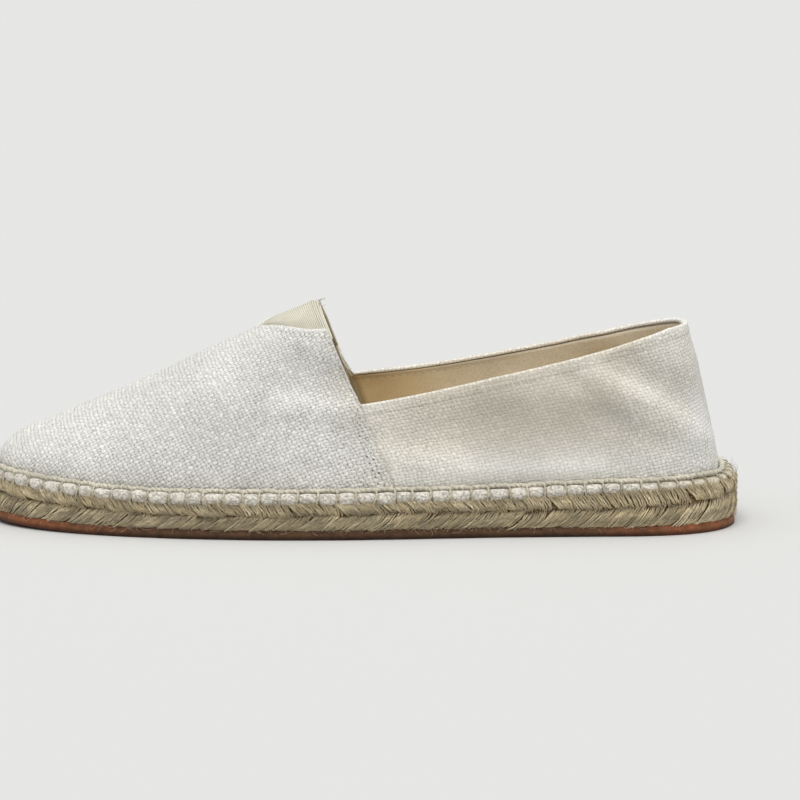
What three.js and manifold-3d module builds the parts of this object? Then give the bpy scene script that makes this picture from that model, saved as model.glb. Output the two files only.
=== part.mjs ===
// A slip-on espadrille for the left foot: canvas upper, elastic gusset, plaited jute sole.
// Millimetres. +Z is up and the shoe stands on z = 0. +X points to the toe, +Y to the outer
// (lateral) side of the foot. The origin is the centre of the shoe's footprint.
import * as THREE from "three";
import { mergeVertices } from "three/addons/utils/BufferGeometryUtils.js";
import Module from "manifold-3d";

const wasm = await Module();
wasm.setup();

// ---- Driving sizes ----

const SOLE_LENGTH = 280; // jute sole, heel to toe
const GAP = 0.3; // clearance between pieces that meet
const STATIONS = 44; // cross-sections along the shoe
const ARCH_STEPS = 12; // steps from the feather line to the ridge, on each side

// Cross-sections of the shoe, from heel to toe, before the two ends are rounded.
// lateral, medial: half-widths of the jute sole from the axis to each side.
// feather: height of the sole's top, where the upper meets it.
// seat: how far inside the jute's edge the upper stands.
// ridge: height of the upper's middle line; behind the throat it belongs to the ankle and is cut off.
// lean: how early the wall leans inwards; 1 is an elliptical arch.
const SECTIONS = [
  { x: -140, lateral: 38, medial: 34, feather: 20.2, seat: 6.6, ridge: 109.6, lean: 1.6 },
  { x: -95, lateral: 38.5, medial: 34, feather: 19.4, seat: 6.2, ridge: 111.6, lean: 1.4 },
  { x: -50, lateral: 40.5, medial: 33.5, feather: 17.8, seat: 6, ridge: 104.6, lean: 1.2 },
  { x: 0, lateral: 45, medial: 38.5, feather: 17, seat: 6, ridge: 89.2, lean: 1.05 },
  { x: 40, lateral: 46.3, medial: 46.5, feather: 16.8, seat: 6, ridge: 71.9, lean: 1 },
  { x: 90, lateral: 46, medial: 49, feather: 17.1, seat: 5.6, ridge: 48.9, lean: 0.95 },
  { x: 140, lateral: 46, medial: 48, feather: 20.8, seat: 3.1, ridge: 28.6, lean: 0.7 },
];

// Rounding of the sole's outline: where it starts on each side, its superellipse power,
// and how far the very end lies off the axis.
const HEEL_END = { lateral: -92, medial: -92, power: 2.6, tipY: 2 };
const TOE_END = { lateral: 2, medial: 62, power: 2.4, tipY: -5 };

const TOE_SPRING = { from: 92, rise: 1.5, power: 1.25 }; // the sole's lift under the toe

// How far forward of the heel and behind the toe the ridge line ends.
const RIDGE_PULL = { heel: 45, toe: 16 };
const RIDGE_Y = -2; // the instep's highest line lies a little to the medial side
const RIDGE_SLANT = 1.1; // upright thickness of a wall at the sloping ridge, for each 1 of wall

const OUTSOLE = { thickness: 3.8, inset: 1.2, bevel: 0.6 };
const HEM = { height: 3.6 };
const UPPER_WALL = 1.8;
const INSOLE = { thickness: 2.5, bevel: 0.5, clearance: 0.8 };

// The throat and collar line seen from the side.
const CORNER = { x: 2, z: 49.6 }; // where throat and collar meet
const THROAT_TOP = { x: 16.3, z: 82.1 };
const COLLAR_DIP = { x: -60, z: 56.6 }; // control point of the collar's curve
const COLLAR_BACK = { x: -124, z: 75.6 };
const THROAT_SKEW = -0.04; // the medial corner lies further forward

// The gusset seen from above: a wedge with swelling sides. Its curved edges run from the apex,
// by way of a control point, to the base. It stands a little proud of the canvas.
const GUSSET = {
  apexX: 40,
  swellX: 26.5,
  swell: 18.5,
  baseX: 13,
  halfBase: 21,
  proud: 0.8,
  wall: 1.5,
};

const COLOURS = {
  canvas: 0xd9d6cb,
  elastic: 0xd6d0bb,
  jute: 0xa8946c,
  rubber: 0x6b4028,
  hem: 0xe4e0d8,
  sock: 0xb9a27a,
};

// ---- The shoe's own functions ----

const HALF = SOLE_LENGTH / 2;
const AWAY = { lateral: 1, medial: -1 };
const OTHER = { lateral: "medial", medial: "lateral" };

const clamp = (value, low, high) => Math.min(high, Math.max(low, value));

// The x of a cross-section. turn runs from 0 at the heel to 1 at the toe.
const stationX = (turn) => -HALF * Math.cos(turn * Math.PI);

// One column of SECTIONS at any x, through a cubic Hermite curve.
function section(column, x) {
  const rows = SECTIONS;
  const last = rows.length - 1;
  const at = clamp(x, rows[0].x, rows[last].x);
  let i = 0;
  while (i < last - 1 && at > rows[i + 1].x) i++;
  const slope = (k) => {
    const a = rows[Math.max(k - 1, 0)];
    const b = rows[Math.min(k + 1, last)];
    return (b[column] - a[column]) / (b.x - a.x);
  };
  const span = rows[i + 1].x - rows[i].x;
  const t = (at - rows[i].x) / span;
  const rise = rows[i + 1][column] - rows[i][column];
  const bend = 3 * rise - span * (2 * slope(i) + slope(i + 1));
  const twist = span * (slope(i) + slope(i + 1)) - 2 * rise;
  return rows[i][column] + t * (span * slope(i) + t * (bend + t * twist));
}

// The share of its width that the outline keeps in the rounding at either end.
function cap(x, end, start) {
  const tip = Math.sign(start) * HALF;
  const into = clamp((x - start) / (tip - start), 0, 1);
  return Math.pow(1 - Math.pow(into, end.power), 1 / end.power);
}

// The jute sole's outline on one side.
function outline(side, turn) {
  const x = stationX(turn);
  const end = x < 0 ? HEEL_END : TOE_END;
  const y = AWAY[side] * section(side, x);
  return new THREE.Vector2(x, end.tipY + (y - end.tipY) * cap(x, end, end[side]));
}

// A point on the outline moved inwards by inset, square to the edge.
function insetPoint(side, turn, inset) {
  const step = 0.004;
  const sample = (t) => {
    if (t < 0) return outline(OTHER[side], -t);
    return t > 1 ? outline(OTHER[side], 2 - t) : outline(side, t);
  };
  const along = sample(turn + step).sub(sample(turn - step)).normalize();
  const inwards = new THREE.Vector2(along.y, -along.x).multiplyScalar(AWAY[side]);
  return outline(side, turn).addScaledVector(inwards, inset);
}

const seat = (turn) => section("seat", stationX(turn));
const feather = (x) => section("feather", x);

// The lift of the sole's underside at x.
function spring(x) {
  const into = clamp((x - TOE_SPRING.from) / (HALF - TOE_SPRING.from), 0, 1);
  return TOE_SPRING.rise * into ** TOE_SPRING.power;
}

// The x of the ridge line that a section starting at x leans to.
function ridgeX(x) {
  const pull = x < 0 ? RIDGE_PULL.heel : -RIDGE_PULL.toe;
  return x + pull * (x / HALF) ** 2;
}

// A point on the upper's form. rise runs from 0, just above the feather line, to 1 at the ridge;
// shrink moves the whole form inwards, which gives the wall's inner face.
function formPoint(side, turn, rise, shrink) {
  const base = insetPoint(side, turn, seat(turn) + shrink);
  const station = stationX(turn);
  const angle = (rise * Math.PI) / 2;
  const inwards = 1 - Math.cos(angle);
  const upwards = Math.pow(Math.sin(angle), section("lean", station));
  const x = base.x + (ridgeX(station) - base.x) * inwards;
  const y = base.y + (RIDGE_Y - base.y) * inwards;
  const foot = feather(base.x) + GAP;
  const top = section("ridge", x) - shrink * RIDGE_SLANT;
  return new THREE.Vector3(x, y, foot + (top - foot) * upwards);
}

// ---- Solids ----

// A closed solid from a three.js geometry.
function toSolid(geometry) {
  const bare = new THREE.BufferGeometry();
  bare.setAttribute("position", geometry.getAttribute("position"));
  if (geometry.index) bare.setIndex(geometry.index);
  const merged = mergeVertices(bare, 1e-3);
  const corners = merged.index.array;
  const kept = [];
  for (let i = 0; i < corners.length; i += 3) {
    const [a, b, c] = [corners[i], corners[i + 1], corners[i + 2]];
    if (a !== b && b !== c && a !== c) kept.push(a, b, c);
  }
  const mesh = new wasm.Mesh({
    numProp: 3,
    vertProperties: merged.attributes.position.array,
    triVerts: new Uint32Array(kept),
  });
  return new wasm.Manifold(mesh);
}

// A solid through closed loops of points, one loop for each cross-section.
// Where wrap is set, the last loop joins the first; otherwise both end loops are folded shut.
function loft(loops, wrap) {
  const size = loops[0].length;
  const positions = loops.flat().flatMap((p) => [p.x, p.y, p.z]);
  const index = [];
  const strips = wrap ? loops.length : loops.length - 1;
  for (let i = 0; i < strips; i++) {
    const here = i * size;
    const next = ((i + 1) % loops.length) * size;
    for (let j = 0; j < size; j++) {
      const k = (j + 1) % size;
      index.push(here + j, next + j, next + k, here + j, next + k, here + k);
    }
  }
  const geometry = new THREE.BufferGeometry();
  geometry.setAttribute("position", new THREE.Float32BufferAttribute(positions, 3));
  geometry.setIndex(index);
  const solid = toSolid(geometry);
  if (solid.volume() > 0) return solid;
  geometry.setIndex(index.reverse());
  return toSolid(geometry);
}

const turns = Array.from({ length: STATIONS + 1 }, (_, i) => i / STATIONS);

// A slab that fills the outline between levels, each an inset at a turn and a height at x.
function slab(levels) {
  const point = (side, turn, level) => {
    const p = insetPoint(side, turn, level.inset(turn));
    return new THREE.Vector3(p.x, p.y, level.z(p.x));
  };
  return loft(
    turns.map((turn) => [
      ...levels.map((level) => point("lateral", turn, level)),
      ...levels.toReversed().map((level) => point("medial", turn, level)),
    ]),
  );
}

// A shell between two depths below the upper's surface: arches from one foot to the other.
function shell(outerDepth, innerDepth) {
  const rises = Array.from({ length: ARCH_STEPS + 1 }, (_, i) => i / ARCH_STEPS);
  const arch = (turn, depth) => [
    ...rises.map((rise) => formPoint("lateral", turn, rise, depth)),
    ...rises.toReversed().slice(1).map((rise) => formPoint("medial", turn, rise, depth)),
  ];
  return loft(turns.map((turn) => [...arch(turn, outerDepth), ...arch(turn, innerDepth).toReversed()]));
}

// A prism of a shape drawn in the XZ plane, running right across the shoe and skewed.
function acrossPrism(shape) {
  const geometry = new THREE.ExtrudeGeometry(shape, {
    depth: SOLE_LENGTH,
    bevelEnabled: false,
    curveSegments: 16,
  });
  geometry.rotateX(Math.PI / 2);
  geometry.translate(0, HALF, 0);
  const shear = new THREE.Matrix4().makeShear(0, 0, THROAT_SKEW, 0, 0, 0);
  return toSolid(geometry.applyMatrix4(shear));
}

// What is cut away above the collar and behind the throat.
function openingCut() {
  const lean = (THROAT_TOP.x - CORNER.x) / (THROAT_TOP.z - CORNER.z);
  const above = HALF; // higher than any part of the form
  const behind = -SOLE_LENGTH;
  const shape = new THREE.Shape();
  shape.moveTo(CORNER.x, CORNER.z);
  shape.lineTo(CORNER.x + lean * (above - CORNER.z), above);
  shape.lineTo(behind, above);
  shape.lineTo(behind, COLLAR_BACK.z);
  shape.lineTo(COLLAR_BACK.x, COLLAR_BACK.z);
  shape.quadraticCurveTo(COLLAR_DIP.x, COLLAR_DIP.z, CORNER.x, CORNER.z);
  return acrossPrism(shape);
}

// The gusset's wedge as an upright prism that runs back past the throat; grow widens it.
function gussetPrism(grow) {
  const slant = Math.hypot(GUSSET.apexX - GUSSET.swellX, GUSSET.swell) / GUSSET.swell;
  const apex = GUSSET.apexX + grow * slant;
  const swell = GUSSET.swell + grow;
  const half = GUSSET.halfBase + grow;
  const halfwayUpThroat = (CORNER.z + THROAT_TOP.z) / 2;
  const shape = new THREE.Shape();
  shape.moveTo(apex, RIDGE_Y);
  shape.quadraticCurveTo(GUSSET.swellX, RIDGE_Y + swell, GUSSET.baseX, RIDGE_Y + half);
  shape.lineTo(0, RIDGE_Y + half);
  shape.lineTo(0, RIDGE_Y - half);
  shape.lineTo(GUSSET.baseX, RIDGE_Y - half);
  shape.quadraticCurveTo(GUSSET.swellX, RIDGE_Y - swell, apex, RIDGE_Y);
  const settings = { depth: HALF, bevelEnabled: false, curveSegments: 8 };
  const geometry = new THREE.ExtrudeGeometry(shape, settings);
  return toSolid(geometry.translate(0, 0, halfwayUpThroat));
}

function outsole() {
  const { thickness, inset, bevel } = OUTSOLE;
  return slab([
    { inset: () => inset + bevel, z: spring },
    { inset: () => inset, z: (x) => spring(x) + bevel },
    { inset: () => inset, z: (x) => spring(x) + thickness },
  ]);
}

// The jute: a rounded edge, and a rebate at the top for the hem.
function midsole() {
  const bottom = (x) => spring(x) + OUTSOLE.thickness + GAP;
  const rebate = (x) => feather(x) - HEM.height - GAP;
  return slab([
    { inset: () => 2.2, z: bottom },
    { inset: () => 0.9, z: (x) => bottom(x) + 1.2 },
    { inset: () => 0.2, z: (x) => bottom(x) + 3 },
    { inset: () => 0, z: (x) => (bottom(x) + rebate(x)) / 2 },
    { inset: () => 0.2, z: (x) => rebate(x) - 2 },
    { inset: () => 0.6, z: rebate },
    { inset: seat, z: rebate },
    { inset: seat, z: feather },
  ]);
}

// The rolled canvas edge: a ring with a rounded outer corner.
function hem() {
  const inner = (turn) => seat(turn) - GAP;
  const profile = [
    { inset: inner, down: HEM.height },
    { inset: () => 0.9, down: HEM.height },
    { inset: () => 0.2, down: HEM.height * 0.75 },
    { inset: () => 0.2, down: HEM.height * 0.45 },
    { inset: () => 0.8, down: HEM.height * 0.18 },
    { inset: () => 2.2, down: 0 },
    { inset: inner, down: 0 },
  ];
  const loopAt = (side, turn) =>
    profile.map(({ inset, down }) => {
      const p = insetPoint(side, turn, inset(turn));
      return new THREE.Vector3(p.x, p.y, feather(p.x) - down);
    });
  const lateral = turns.map((turn) => loopAt("lateral", turn));
  const medial = turns.toReversed().slice(1, -1).map((turn) => loopAt("medial", turn));
  return loft([...lateral, ...medial], true);
}

function insole() {
  const { thickness, bevel, clearance } = INSOLE;
  const edge = (turn) => seat(turn) + UPPER_WALL + clearance;
  const base = (x) => feather(x) + GAP;
  return slab([
    { inset: edge, z: base },
    { inset: edge, z: (x) => base(x) + thickness - bevel },
    { inset: (turn) => edge(turn) + bevel, z: (x) => base(x) + thickness },
  ]);
}

// One hollow wall, open underneath, less the opening and the notch for the gusset.
function upper() {
  return shell(0, UPPER_WALL).subtract(openingCut()).subtract(gussetPrism(0));
}

// The elastic fills the notch.
function gusset() {
  const sheet = shell(-GUSSET.proud, GUSSET.wall - GUSSET.proud);
  return sheet.intersect(gussetPrism(-GAP)).subtract(openingCut());
}

// ---- The assembly ----

function piece(name, solid, colour, roughness) {
  const mesh = solid.getMesh();
  const geometry = new THREE.BufferGeometry();
  geometry.setAttribute("position", new THREE.BufferAttribute(mesh.vertProperties, 3));
  geometry.setIndex(new THREE.BufferAttribute(mesh.triVerts, 1));
  geometry.computeVertexNormals();
  const material = new THREE.MeshStandardMaterial({ color: colour, roughness, metalness: 0 });
  const made = new THREE.Mesh(geometry, material);
  made.name = name;
  return made;
}

const espadrille = new THREE.Group();
espadrille.add(
  piece("outsole", outsole(), COLOURS.rubber, 0.6),
  piece("midsole", midsole(), COLOURS.jute, 0.95),
  piece("hem", hem(), COLOURS.hem, 0.9),
  piece("insole", insole(), COLOURS.sock, 0.9),
  piece("upper", upper(), COLOURS.canvas, 0.9),
  piece("gusset", gusset(), COLOURS.elastic, 0.8),
);

// The footprint's centre becomes the origin.
const footprint = new THREE.Box3().setFromObject(espadrille);
const centre = footprint.getCenter(new THREE.Vector3());
espadrille.position.set(-centre.x, -centre.y, 0);

export default espadrille;
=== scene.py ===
"""A slip-on espadrille for the left foot, dressed around its CAD frame.

Sizes are millimetres until a mesh is made. +X is the toe, +Y the outer (lateral) side, +Z up.
"""
import math

import bmesh
import bpy
import numpy as np
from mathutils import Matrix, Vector

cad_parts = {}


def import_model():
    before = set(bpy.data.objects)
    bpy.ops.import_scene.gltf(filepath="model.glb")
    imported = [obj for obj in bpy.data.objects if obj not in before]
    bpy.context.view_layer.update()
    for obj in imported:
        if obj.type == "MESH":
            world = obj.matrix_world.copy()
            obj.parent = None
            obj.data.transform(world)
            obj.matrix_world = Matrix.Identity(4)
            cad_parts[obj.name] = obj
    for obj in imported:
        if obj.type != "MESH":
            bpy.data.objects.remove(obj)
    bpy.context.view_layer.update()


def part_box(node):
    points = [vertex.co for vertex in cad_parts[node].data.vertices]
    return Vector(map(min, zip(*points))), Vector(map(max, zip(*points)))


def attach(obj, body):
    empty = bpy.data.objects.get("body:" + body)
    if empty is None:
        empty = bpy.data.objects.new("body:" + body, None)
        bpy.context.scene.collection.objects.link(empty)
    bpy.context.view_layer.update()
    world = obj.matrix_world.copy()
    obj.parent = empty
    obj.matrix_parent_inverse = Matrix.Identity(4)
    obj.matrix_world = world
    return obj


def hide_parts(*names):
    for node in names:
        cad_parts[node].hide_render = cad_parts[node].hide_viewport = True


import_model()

MM = 0.001
SEED = 7

# ---- The shoe's form: the same driving sizes as the CAD source ----

HALF = 140.0  # half the sole's length
GAP = 0.3  # between the upper's foot and the jute

# x, lateral half-width, medial half-width, feather line height, seat, ridge height, lean
COLUMNS = ("x", "lateral", "medial", "feather", "seat", "ridge", "lean")
SECTIONS = np.array([
    (-140, 38.0, 34.0, 20.2, 6.6, 109.6, 1.60),
    (-95, 38.5, 34.0, 19.4, 6.2, 111.6, 1.40),
    (-50, 40.5, 33.5, 17.8, 6.0, 104.6, 1.20),
    (0, 45.0, 38.5, 17.0, 6.0, 89.2, 1.05),
    (40, 46.3, 46.5, 16.8, 6.0, 71.9, 1.00),
    (90, 46.0, 49.0, 17.1, 5.6, 48.9, 0.95),
    (140, 46.0, 48.0, 20.8, 3.1, 28.6, 0.70),
])
HEEL_END = {"lateral": -92, "medial": -92, "power": 2.6, "tip_y": 2}
TOE_END = {"lateral": 2, "medial": 62, "power": 2.4, "tip_y": -5}
TOE_SPRING = {"from": 92, "rise": 1.5, "power": 1.25}
RIDGE_PULL = {"heel": 45, "toe": 16}
RIDGE_Y = -2.0
RIDGE_SLANT = 1.1  # fall of the ridge for each 1 of depth
OUTSOLE = {"thickness": 3.8, "inset": 1.2}
HEM_HEIGHT = 3.6
WALL = 1.8
CORNER = (2.0, 49.6)  # x and z where throat and collar meet
THROAT_TOP = (16.3, 82.1)
COLLAR = ((-124.0, 75.6), (-60.0, 56.6), CORNER)  # quadratic curve, back to corner
THROAT_SKEW = -0.04
NOTCH = {"apex": 40.0, "swell_x": 26.5, "swell": 18.5, "base_x": 13.0, "half_base": 21.0}

AWAY = {"lateral": 1.0, "medial": -1.0}
OTHER = {"lateral": "medial", "medial": "lateral"}


def smoothstep(low, high, value):
    """0 below low, 1 above high and a smooth step between them."""
    t = np.clip((value - low) / (high - low), 0, 1)
    return t * t * (3 - 2 * t)


def section(column, x):
    """One column of SECTIONS at any x, through a cubic Hermite curve."""
    at = np.clip(np.asarray(x, float), -HALF, HALF)
    xs, values = SECTIONS[:, 0], SECTIONS[:, COLUMNS.index(column)]
    last = len(xs) - 1
    below = np.maximum(np.arange(last + 1) - 1, 0)
    above = np.minimum(np.arange(last + 1) + 1, last)
    slopes = (values[above] - values[below]) / (xs[above] - xs[below])
    i = np.clip(np.searchsorted(xs, at, side="left") - 1, 0, last - 1)
    span = xs[i + 1] - xs[i]
    t = (at - xs[i]) / span
    rise = values[i + 1] - values[i]
    bend = 3 * rise - span * (2 * slopes[i] + slopes[i + 1])
    twist = span * (slopes[i] + slopes[i + 1]) - 2 * rise
    return values[i] + t * (span * slopes[i] + t * (bend + t * twist))


def station_x(turn):
    """The x of a turn, which is 0 at the heel's end and 1 at the toe's."""
    return -HALF * np.cos(np.asarray(turn, float) * np.pi)


def turn_at(x):
    """The turn of an x."""
    return np.arccos(np.clip(-np.asarray(x, float) / HALF, -1, 1)) / np.pi


def half_outline(side, turn):
    """The sole's outline on one side: the sections' half-widths, rounded off at heel and toe."""
    x = station_x(turn)
    y = AWAY[side] * section(side, x)
    out = y
    for end, here in ((HEEL_END, x < 0), (TOE_END, x >= 0)):
        tip = math.copysign(HALF, end[side])
        into = np.clip((x - end[side]) / (tip - end[side]), 0, 1)
        cap = (1 - into ** end["power"]) ** (1 / end["power"])
        out = np.where(here, end["tip_y"] + (y - end["tip_y"]) * cap, out)
    return np.stack([x, out], -1)


def outline(side, turn):
    """The sole's outline on one side; past either end it goes on along the other side."""
    turn = np.asarray(turn, float)
    own = (turn >= 0) & (turn <= 1)
    folded = np.where(turn < 0, -turn, np.where(turn > 1, 2 - turn, turn))
    return np.where(own[..., None], half_outline(side, folded), half_outline(OTHER[side], folded))


def inset_point(side, turn, inset):
    """A point of the outline, moved inwards."""
    step = 0.004
    along = outline(side, turn + step) - outline(side, turn - step)
    along /= np.linalg.norm(along, axis=-1, keepdims=True)
    inwards = np.stack([along[..., 1], -along[..., 0]], -1) * AWAY[side]
    return outline(side, turn) + inwards * np.asarray(inset, float)[..., None]


def feather(x):
    """Height of the feather line, where the upper meets the sole."""
    return section("feather", x)


def spring(x):
    """How far the toe lifts off the ground."""
    into = np.clip((x - TOE_SPRING["from"]) / (HALF - TOE_SPRING["from"]), 0, 1)
    return TOE_SPRING["rise"] * into ** TOE_SPRING["power"]


def middle_y():
    """How far sideways the CAD moves the form when it centres the footprint on the origin."""
    turns = np.linspace(0, 1, 400)
    span = half_outline("lateral", turns)[:, 1].max() + half_outline("medial", turns)[:, 1].min()
    low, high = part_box("midsole")
    return (low[1] + high[1]) / 2 / MM - span / 2


MID_Y = middle_y()


def form_point(side, turn, rise, depth=0.0):
    """A point on the upper: rise 0 is its foot and 1 the ridge; depth is how far inside the surface."""
    turn, rise, depth = np.broadcast_arrays(np.asarray(turn, float), rise, depth)
    station = station_x(turn)
    base = inset_point(side, turn, section("seat", station) + depth)
    angle = rise * np.pi / 2
    inwards = 1 - np.cos(angle)
    upwards = np.sin(angle) ** section("lean", station)
    pull = np.where(station < 0, RIDGE_PULL["heel"], -RIDGE_PULL["toe"]) * (station / HALF) ** 2
    x = base[..., 0] + (station + pull - base[..., 0]) * inwards
    y = base[..., 1] + (RIDGE_Y - base[..., 1]) * inwards
    foot = feather(base[..., 0]) + GAP
    top = section("ridge", x) - depth * RIDGE_SLANT
    return np.stack([x, y + MID_Y, foot + (top - foot) * upwards], -1)


# ---- Where the upper ends: collar, throat and notch ----

def bezier(points, t):
    """A quadratic curve between two end points, drawn towards the middle one."""
    a, b, c = (np.array(p, float) for p in points)
    t = np.asarray(t, float)[..., None]
    return (1 - t) ** 2 * a + 2 * t * (1 - t) * b + t * t * c


COLLAR_LINE = bezier(COLLAR, np.linspace(0, 1, 200))
NOTCH_LINE = bezier(
    ((NOTCH["base_x"], NOTCH["half_base"]), (NOTCH["swell_x"], NOTCH["swell"]), (NOTCH["apex"], 0)),
    np.linspace(0, 1, 200),
)
FOLD_TOP = 0.6  # the turned-over edge rises this much above the cut edge
# The soft collar stands a little off the CAD's line: x and the lift there, on each side.
COLLAR_LIFT = {
    "lateral": ((-124, 0.4), (-113, 2.1), (-98, 1.8), (-80, 1.2), (-47, 0.9), (-25, 0.0), (2, -1.0)),
    "medial": ((-124, 0.4), (-105, 1.0), (-90, 1.5), (-60, 1.7), (2, 1.5)),
}


def collar_lift(x, y):
    """The collar's lift at a place, blended across the middle line."""
    lateral, medial = (np.interp(x, *zip(*COLLAR_LIFT[side])) for side in ("lateral", "medial"))
    share = smoothstep(-12.0, 12.0, y - MID_Y)
    return lateral * share + medial * (1 - share)


def throat_x(z):
    """Where the throat's edge lies at a height."""
    return CORNER[0] + (THROAT_TOP[0] - CORNER[0]) * (z - CORNER[1]) / (THROAT_TOP[1] - CORNER[1])


def in_opening(p):
    """True above the collar and behind the throat."""
    x = p[..., 0] - THROAT_SKEW * (p[..., 1] - MID_Y)
    z = p[..., 2] + FOLD_TOP
    lift = collar_lift(x, p[..., 1])
    collar_z = np.interp(x, COLLAR_LINE[:, 0], COLLAR_LINE[:, 1]) + lift
    throat = (z > CORNER[1] + lift) & (x < throat_x(z) + FOLD_TOP / 2)
    return np.where(x < CORNER[0], z > collar_z, throat)


def in_notch(p):
    """True inside the wedge that the gusset fills."""
    x, z = p[..., 0], p[..., 2]
    half = np.interp(x, NOTCH_LINE[:, 0], NOTCH_LINE[:, 1], right=0.0)
    above = z > (CORNER[1] + THROAT_TOP[1]) / 2
    return (np.abs(p[..., 1] - MID_Y - RIDGE_Y) < half + FOLD_TOP / 2) & above & (x > 0) & (half > 0)


def edge_rise(side, turn):
    """How far up its arch the canvas reaches at each turn."""
    turn = np.atleast_1d(np.asarray(turn, float))
    rises = np.linspace(0, 1, 401)

    def off(t, r):
        p = form_point(side, t, r)
        return in_opening(p) | in_notch(p)

    cut = off(turn[:, None], rises[None, :])
    first = np.where(cut.any(1), cut.argmax(1), len(rises) - 1)
    high = rises[first]
    low = rises[np.maximum(first - 1, 0)]
    for _ in range(18):
        middle = (low + high) / 2
        gone = off(turn, middle)
        high, low = np.where(gone, middle, high), np.where(gone, low, middle)
    return np.where(cut.any(1), high, 1.0)


EDGE_TURNS = np.linspace(0, 1, 1601)
EDGE_RISES = {side: edge_rise(side, EDGE_TURNS) for side in AWAY}


def rise_limit(side, turn):
    """How far up its arch the canvas reaches, read from the list above."""
    return np.interp(turn, EDGE_TURNS, EDGE_RISES[side])


def corner_turn(side):
    """The turn at which collar and throat meet on this side."""
    turns = np.linspace(0.45, 0.58, 400)
    edge = form_point(side, turns, rise_limit(side, turns))
    return turns[edge[:, 2].argmin()]


CORNER_TURN = {side: corner_turn(side) for side in AWAY}
APEX_TURN = float(EDGE_TURNS[np.argmax((EDGE_TURNS > 0.55) & (EDGE_RISES["lateral"] > 0.9999))])
SEAM_LEAN = 0.39  # the side seam runs back this much for each 1 that it runs down


def seam_turn(side, v):
    """The side seam, from the foot (v 0) to the corner (v 1)."""
    x = station_x(CORNER_TURN[side])
    return turn_at(x - SEAM_LEAN * (CORNER[1] - feather(0)) * (1 - v))


# ---- Relief of the cloth ----

# Soft creases, side view: side, from (x, z), to (x, z), half-width, height. A minus is a trough.
CREASES = [
    ("lateral", (24, 64.5), (7, 58.5), 6.5, -2.4),
    ("lateral", (36, 57.5), (14, 53.5), 9.0, -0.8),
    ("lateral", (28, 48.5), (2, 47.5), 4.5, 1.3),
    ("lateral", (22, 41.5), (-2, 39.5), 5.0, -0.6),
    ("lateral", (-18, 40.5), (-50, 43.5), 9.0, -1.6),
    ("lateral", (-48, 38.5), (-92, 41.5), 10.0, -2.2),
    ("lateral", (-14, 28.5), (-34, 28.5), 5.5, 0.9),
    ("lateral", (-30, 23.5), (-88, 23.5), 4.0, 0.9),
    ("lateral", (-86, 58.5), (-104, 48.5), 4.2, 1.5),
    ("lateral", (-100, 50.5), (-130, 32.5), 5.2, 2.0),
    ("lateral", (-88, 45.5), (-112, 33.5), 4.5, -0.9),
    ("lateral", (-92, 67.5), (-122, 51.5), 6.0, -1.7),
    ("lateral", (-70, 56.5), (-78, 50.5), 1.7, 0.45),
    ("lateral", (-76, 58.5), (-86, 51.5), 1.8, -0.45),
    ("lateral", (60, 39.5), (34, 41.5), 8.0, -0.7),
    ("medial", (24, 63.5), (6, 57.5), 7.0, -1.9),
    ("medial", (26, 47.5), (-2, 46.5), 5.0, 1.0),
    ("medial", (-22, 39.5), (-78, 40.5), 10.0, -1.9),
    ("medial", (-34, 23.5), (-86, 23.5), 4.5, 0.8),
    ("medial", (-90, 55.5), (-126, 34.5), 5.2, 1.5),
    ("medial", (-92, 65.5), (-118, 51.5), 6.0, -1.3),
    ("medial", (66, 35.5), (36, 39.5), 8.0, -0.7),
]


def crease_height(side, p):
    """The sum of the creases at points of one side, in mm along the normal."""
    flat = p[..., [0, 2]]
    total = np.zeros(flat.shape[:-1])
    for where, start, end, width, height in CREASES:
        if where != side:
            continue
        a, along = np.array(start, float), np.subtract(end, start).astype(float)
        t = np.clip(((flat - a) @ along) / (along @ along), 0, 1)
        distance = np.linalg.norm(flat - a - t[..., None] * along, axis=-1)
        total += height * np.exp(-(distance / width) ** 2)
    return total


def wobble(p, size, seed):
    """Smooth unevenness from a few crossed waves, about -1 to 1; size is the longest wave in mm."""
    random = np.random.default_rng(seed)
    total = np.zeros(p.shape[:-1])
    for k in range(7):
        direction = unit(random.normal(size=3))
        wave = size / (1 + 0.45 * k)
        total += np.sin(p @ direction * 2 * np.pi / wave + random.uniform(0, 6.28)) / (1 + 0.3 * k)
    return total / 3.0


# ---- Grids ----

def steps(points, axis):
    """Distance run along one axis of a grid of points."""
    length = np.linalg.norm(np.diff(points, axis=axis), axis=-1)
    start = np.zeros_like(np.take(length, [0], axis=axis))
    return np.cumsum(np.concatenate([start, length], axis=axis), axis=axis)


def unit(vectors):
    """The vectors made 1 long."""
    return vectors / np.maximum(np.linalg.norm(vectors, axis=-1, keepdims=True), 1e-9)


def normals(points, zipped=None):
    """Unit normals of a grid, outward when its columns run backwards on the lateral side.

    Columns marked as zipped meet their mirror column at the last row and share its normal.
    """
    n = unit(np.cross(np.gradient(points, axis=0), np.gradient(points, axis=1)))
    if zipped is not None:
        top = n[:, -1]
        n[zipped, -1] = unit(top + top[::-1])[zipped]
    return n


def smoothed(field):
    """A grid of vectors, each one averaged with its neighbours."""
    for axis in (0, 1):
        size = field.shape[axis]
        ahead = np.take(field, np.minimum(np.arange(size) + 1, size - 1), axis)
        behind = np.take(field, np.maximum(np.arange(size) - 1, 0), axis)
        field = field * 0.5 + (ahead + behind) * 0.25
    return field


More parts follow.
